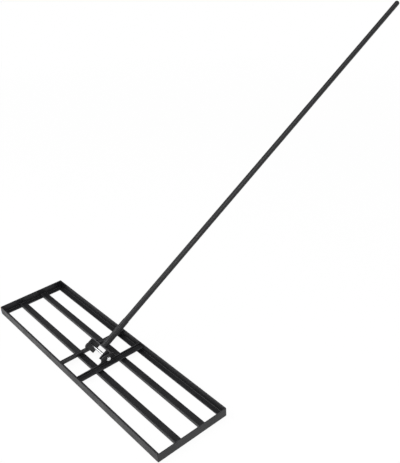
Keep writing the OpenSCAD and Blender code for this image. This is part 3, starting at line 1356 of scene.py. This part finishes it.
@dataclass(frozen=True)
class Studio:
    """White floor, soft lamps, a dim room with a pale horizon, and the photograph's camera, in metres."""

    lamps: tuple[Lamp, ...] = (
        Lamp("key_softbox", (-1.9, -2.6, 3.4), (0.0, 0.1, 0.0), 3.2, 140.0),
        Lamp("top_softbox", (0.6, 0.6, 4.6), (0.0, 0.4, 0.0), 3.6, 70.0),
        Lamp("handle_softbox", (3.0, -0.3, 3.6), (0.0, 0.6, 0.4), 2.0, 70.0),
    )
    floor_r: float = 40.0
    floor_z: float = -0.0006
    floor_rings: int = 8
    floor_sides: int = 64
    floor_white: str = "#f7f7f7"
    floor_glow: float = 0.94
    shadow_reach: tuple[float, float] = (1.2, 4.0)
    room: float = 0.18
    horizon: float = 1.0
    horizon_band: tuple[float, float] = (0.12, 0.6)
    eye: tuple[float, float, float] = (1.451352, -0.776355, 1.348958)
    target: tuple[float, float, float] = (0.145465, 0.315235, 0.4)
    roll_deg: float = 2.5541
    focal_px: float = 642.45
    frame_px: tuple[int, int] = (400, 463)
    sensor_mm: float = 36.0
    clip_end: float = 200.0

    def floor(self) -> None:
        """Spread the floor as rings of a disc that stays white to the eye and in reflections.

        The rings' radii grow with the square of their number. Near the rake part of the paper shows,
        with the shadow on it; far off the white is full.
        """
        n = self.floor_sides
        r = self.floor_r * np.linspace(0.0, 1.0, self.floor_rings + 1)[1:, None] ** 2
        th = around(n)[None]
        points = np.stack(np.broadcast_arrays(r * np.cos(th), r * np.sin(th), self.floor_z), 2)
        quads = between(self.floor_rings, n)[:, FLIP]
        mesh = bpy.data.meshes.new("floor")
        mesh.from_pydata(points.reshape(-1, 3).tolist(), [], [list(range(n))] + quads.tolist())
        made, tree = new_tree("white_paper_floor")
        path = add_node(tree, "ShaderNodeLightPath").outputs
        seen = add_node(tree, "ShaderNodeMath", {
            0: path["Is Camera Ray"], 1: path["Is Glossy Ray"]}, operation="MAXIMUM").outputs[0]
        seen = add_node(tree, "ShaderNodeMath", {
            0: seen, 1: path["Is Transmission Ray"]}, operation="MAXIMUM").outputs[0]
        place = add_node(tree, "ShaderNodeTexCoord").outputs["Object"]
        away = add_node(tree, "ShaderNodeVectorMath", {0: place}, operation="LENGTH").outputs["Value"]
        glow = add_node(tree, "ShaderNodeMapRange", {
            "Value": away, "From Min": self.shadow_reach[0], "From Max": self.shadow_reach[1],
            "To Min": self.floor_glow, "To Max": 1.0}).outputs["Result"]
        share = add_node(tree, "ShaderNodeMath", {0: seen, 1: glow}, operation="MULTIPLY").outputs[0]
        paper = add_node(tree, "ShaderNodeBsdfDiffuse", {"Color": linear(self.floor_white)}).outputs[0]
        white = add_node(tree, "ShaderNodeEmission", {
            "Color": linear(WHITE), "Strength": 1.0}).outputs[0]
        mix = add_node(tree, "ShaderNodeMixShader", {0: share, 1: paper, 2: white}).outputs[0]
        add_node(tree, "ShaderNodeOutputMaterial", {"Surface": mix})
        mesh.materials.append(made)
        floor = bpy.data.objects.new("floor", mesh)
        bpy.context.scene.collection.objects.link(floor)

    def world(self) -> None:
        """Light the room: pale near the horizon and falling to dim over a band of heights."""
        world = bpy.data.worlds.new("studio_room")
        bpy.context.scene.world = world
        world.use_nodes = True
        tree = world.node_tree
        tree.nodes.clear()
        way = add_node(tree, "ShaderNodeTexCoord").outputs["Generated"]
        up = add_node(tree, "ShaderNodeSeparateXYZ", {0: way}).outputs["Z"]
        level = add_node(tree, "ShaderNodeMapRange", {
            "Value": up, "From Min": self.horizon_band[0], "From Max": self.horizon_band[1],
            "To Min": self.horizon, "To Max": self.room},
            interpolation_type="SMOOTHSTEP").outputs["Result"]
        back = add_node(tree, "ShaderNodeBackground", {
            "Color": linear(WHITE), "Strength": level}).outputs[0]
        add_node(tree, "ShaderNodeOutputWorld", {"Surface": back})

    def light(self) -> None:
        """Hang the lamps."""
        for lamp in self.lamps:
            data = bpy.data.lights.new(lamp.name, "AREA")
            data.shape = "SQUARE"
            data.size = lamp.size
            data.energy = lamp.watts
            made = bpy.data.objects.new(lamp.name, data)
            made.location = lamp.place
            way = Vector(lamp.aim) - Vector(lamp.place)
            made.rotation_euler = way.to_track_quat("-Z", "Y").to_euler()
            bpy.context.scene.collection.objects.link(made)

    def camera(self) -> None:
        """Stand the camera where the photograph was taken from, with its small roll."""
        data = bpy.data.cameras.new("photo_camera")
        data.sensor_width = self.sensor_mm
        data.lens = self.focal_px * self.sensor_mm / max(self.frame_px)
        data.clip_end = self.clip_end
        made = bpy.data.objects.new("photo_camera", data)
        made.location = self.eye
        way = (Vector(self.target) - Vector(self.eye)).to_track_quat("-Z", "Y").to_matrix()
        roll = np.radians(self.roll_deg)
        c, s = float(np.cos(roll)), float(np.sin(roll))
        turn = way.copy()
        turn.col[0] = c * way.col[0] - s * way.col[1]
        turn.col[1] = s * way.col[0] + c * way.col[1]
        made.rotation_euler = turn.to_euler()
        bpy.context.scene.collection.objects.link(made)
        bpy.context.scene.camera = made

    def build(self) -> None:
        """Set up the camera, the floor and the light."""
        bpy.context.scene.view_settings.view_transform = "Standard"
        self.camera()
        self.floor()
        self.world()
        self.light()


def main() -> None:
    """Build the studio and every sub-assembly."""
    logging.basicConfig(level=logging.INFO, format="%(name)s: %(message)s")
    Studio().build()
    shop = Workshop()
    Head().build(shop)
    PivotHardware().build(shop)
    Handle().build(shop)


if __name__ == "__main__":
    main()
